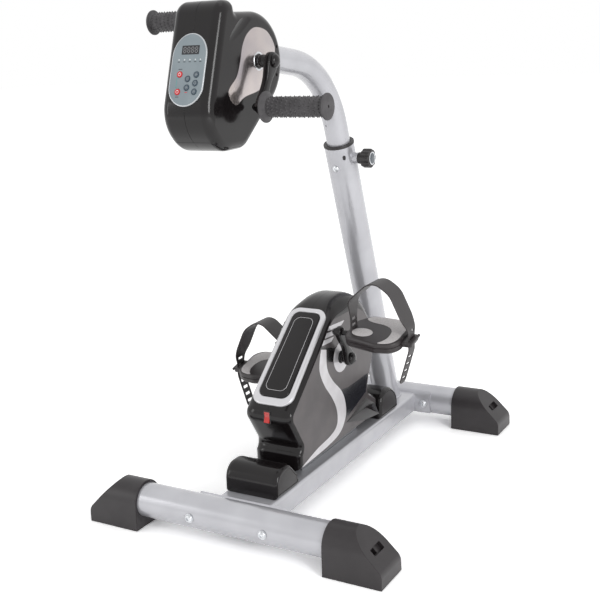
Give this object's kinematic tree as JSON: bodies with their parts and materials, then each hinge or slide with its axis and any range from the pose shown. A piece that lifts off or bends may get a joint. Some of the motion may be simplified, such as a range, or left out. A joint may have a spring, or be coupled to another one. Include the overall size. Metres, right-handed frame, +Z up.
{
  "type": "motorized arm and leg exerciser",
  "caption": "Floor-standing motorized pedal exerciser: pedal unit on an H-shaped stand and a hand-crank unit with console on a height-adjustable mast.",
  "frame": {"origin": "middle of the bounding box, on the floor", "axes": "+Z up, +X to the right side with the clamp knob, -Y towards the seated user and the console"},
  "size_m": [0.6122, 0.7952, 0.9367],
  "materials": {
    "silver_paint": "satin silver-grey paint",
    "zinc": "zinc plated",
    "steel": "plain steel, inside",
    "gloss_black": "moulded gloss",
    "matt_black": "moulded, fine grain",
    "rubber": "soft rubber",
    "foot_rubber": "hard rubber",
    "silver_trim": "silver lacquered plastic",
    "console_grey": "printed membrane",
    "button_red": "satin",
    "button_blue": "satin",
    "board_green": "lacquered board"
  },
  "bodies": {
    "stand": {"bracket_front": "silver_paint", "bracket_rear": "silver_paint", "front_bolt_left": "zinc", "front_bolt_right": "zinc", "front_cross_tube": "silver_paint", "front_foot_left": "foot_rubber", "front_foot_right": "foot_rubber", "leg_belt": "rubber", "leg_chassis": "steel", "leg_front_mount": "gloss_black", "leg_housing_left": "gloss_black", "leg_housing_right": "gloss_black", "leg_motor": "steel", "leg_rear_mount": "gloss_black", "leg_top_plate": "gloss_black", "leg_trim_frame": "silver_trim", "main_beam": "silver_paint", "post_bush": "matt_black", "post_screw": "zinc", "power_inlet": "matt_black", "rear_bolt_left": "zinc", "rear_bolt_right": "zinc", "rear_cross_tube": "silver_paint", "rear_foot_left": "foot_rubber", "rear_foot_right": "foot_rubber", "upright_post": "silver_paint"},
    "leg_crankset": {"leg_axle": "steel", "leg_pulley": "matt_black", "leg_crank_left": "gloss_black", "leg_crank_right": "gloss_black"},
    "leg_rotor": {"leg_motor_pulley": "steel"},
    "right_pedal": {"pedal_right": "matt_black", "pedal_strap_right": "rubber"},
    "left_pedal": {"pedal_left": "matt_black", "pedal_strap_left": "rubber"},
    "switch_rocker": {"power_switch": "button_red"},
    "clamp_pin": {"lock_pin": "zinc"},
    "clamp_knob": {"lock_knob": "matt_black"},
    "arm_unit": {"mast_tube": "silver_paint", "arm_housing_left": "gloss_black", "arm_housing_right": "gloss_black", "console_panel": "console_grey", "console_board": "board_green", "arm_chassis": "steel", "arm_motor": "steel", "arm_belt": "rubber"},
    "arm_crankset": {"arm_axle": "steel", "arm_pulley": "matt_black", "hand_crank_left": "gloss_black", "hand_crank_right": "gloss_black"},
    "arm_rotor": {"arm_motor_pulley": "steel"},
    "right_grip": {"grip_right": "rubber"},
    "left_grip": {"grip_left": "rubber"},
    "button_power": {"button_power": "button_red"},
    "button_start": {"button_start": "button_red"},
    "button_mode": {"button_mode": "button_blue"},
    "button_enter": {"button_enter": "button_blue"},
    "button_up": {"button_up": "button_blue"},
    "button_reset": {"button_reset": "button_blue"},
    "button_down": {"button_down": "button_blue"}
  },
  "joints": [
    {"name": "leg_crank_spin", "type": "hinge", "parent": "stand", "child": "leg_crankset", "pos_m": [0, -0.009, 0.258], "axis": [1, 0, 0], "continuous": true},
    {"name": "leg_motor_spin", "type": "hinge", "parent": "stand", "child": "leg_rotor", "pos_m": [0, -0.102, 0.165], "axis": [1, 0, 0], "continuous": true},
    {"name": "right_pedal_spin", "type": "hinge", "parent": "leg_crankset", "child": "right_pedal", "pos_m": [0, -0.04251, 0.31946], "axis": [1, 0, 0], "continuous": true},
    {"name": "left_pedal_spin", "type": "hinge", "parent": "leg_crankset", "child": "left_pedal", "pos_m": [0, 0.02451, 0.19654], "axis": [1, 0, 0], "continuous": true},
    {"name": "switch_rock", "type": "hinge", "parent": "stand", "child": "switch_rocker", "pos_m": [0, -0.20605, 0.1959], "axis": [1, 0, 0], "range_deg": [0, 14]},
    {"name": "clamp_screw", "type": "slide", "parent": "stand", "child": "clamp_pin", "axis": [1, 0, 0], "range_m": [0, 0.0025]},
    {"name": "knob_turn", "type": "hinge", "parent": "clamp_pin", "child": "clamp_knob", "pos_m": [0, 0.12034, 0.63198], "axis": [1, 0, 0], "range_deg": [0, 720]},
    {"name": "mast_slide", "type": "slide", "parent": "stand", "child": "arm_unit", "axis": [0, -0.294, 0.9558], "range_m": [0, 0.11]},
    {"name": "arm_crank_spin", "type": "hinge", "parent": "arm_unit", "child": "arm_crankset", "pos_m": [0, -0.24238, 0.83824], "axis": [1, 0, 0], "continuous": true},
    {"name": "arm_motor_spin", "type": "hinge", "parent": "arm_unit", "child": "arm_rotor", "pos_m": [0, -0.33438, 0.76824], "axis": [1, 0, 0], "continuous": true},
    {"name": "right_grip_spin", "type": "hinge", "parent": "arm_crankset", "child": "right_grip", "pos_m": [0, -0.28239, 0.76724], "axis": [1, 0, 0], "continuous": true},
    {"name": "left_grip_spin", "type": "hinge", "parent": "arm_crankset", "child": "left_grip", "pos_m": [0, -0.20237, 0.90924], "axis": [1, 0, 0], "continuous": true},
    {"name": "button_power_press", "type": "slide", "parent": "arm_unit", "child": "button_power", "axis": [0, 0.9412, -0.3377], "range_m": [0, 0.0006], "stiffness_N_per_m": 500, "springref_m": -0.0006},
    {"name": "button_start_press", "type": "slide", "parent": "arm_unit", "child": "button_start", "axis": [0, 0.9412, -0.3377], "range_m": [0, 0.0006], "stiffness_N_per_m": 500, "springref_m": -0.0006},
    {"name": "button_mode_press", "type": "slide", "parent": "arm_unit", "child": "button_mode", "axis": [0, 0.9412, -0.3377], "range_m": [0, 0.0006], "stiffness_N_per_m": 500, "springref_m": -0.0006},
    {"name": "button_enter_press", "type": "slide", "parent": "arm_unit", "child": "button_enter", "axis": [0, 0.9412, -0.3377], "range_m": [0, 0.0006], "stiffness_N_per_m": 500, "springref_m": -0.0006},
    {"name": "button_up_press", "type": "slide", "parent": "arm_unit", "child": "button_up", "axis": [0, 0.9412, -0.3377], "range_m": [0, 0.0006], "stiffness_N_per_m": 500, "springref_m": -0.0006},
    {"name": "button_reset_press", "type": "slide", "parent": "arm_unit", "child": "button_reset", "axis": [0, 0.9412, -0.3377], "range_m": [0, 0.0006], "stiffness_N_per_m": 500, "springref_m": -0.0006},
    {"name": "button_down_press", "type": "slide", "parent": "arm_unit", "child": "button_down", "axis": [0, 0.9412, -0.3377], "range_m": [0, 0.0006], "stiffness_N_per_m": 500, "springref_m": -0.0006}
  ],
  "couplings": [
    {"joint": "leg_motor_spin", "follows": "leg_crank_spin", "ratio": 5},
    {"joint": "arm_motor_spin", "follows": "arm_crank_spin", "ratio": 3.5},
    {"joint": "knob_turn", "follows": "clamp_screw", "rad_per_m": 5026.5}
  ]
}
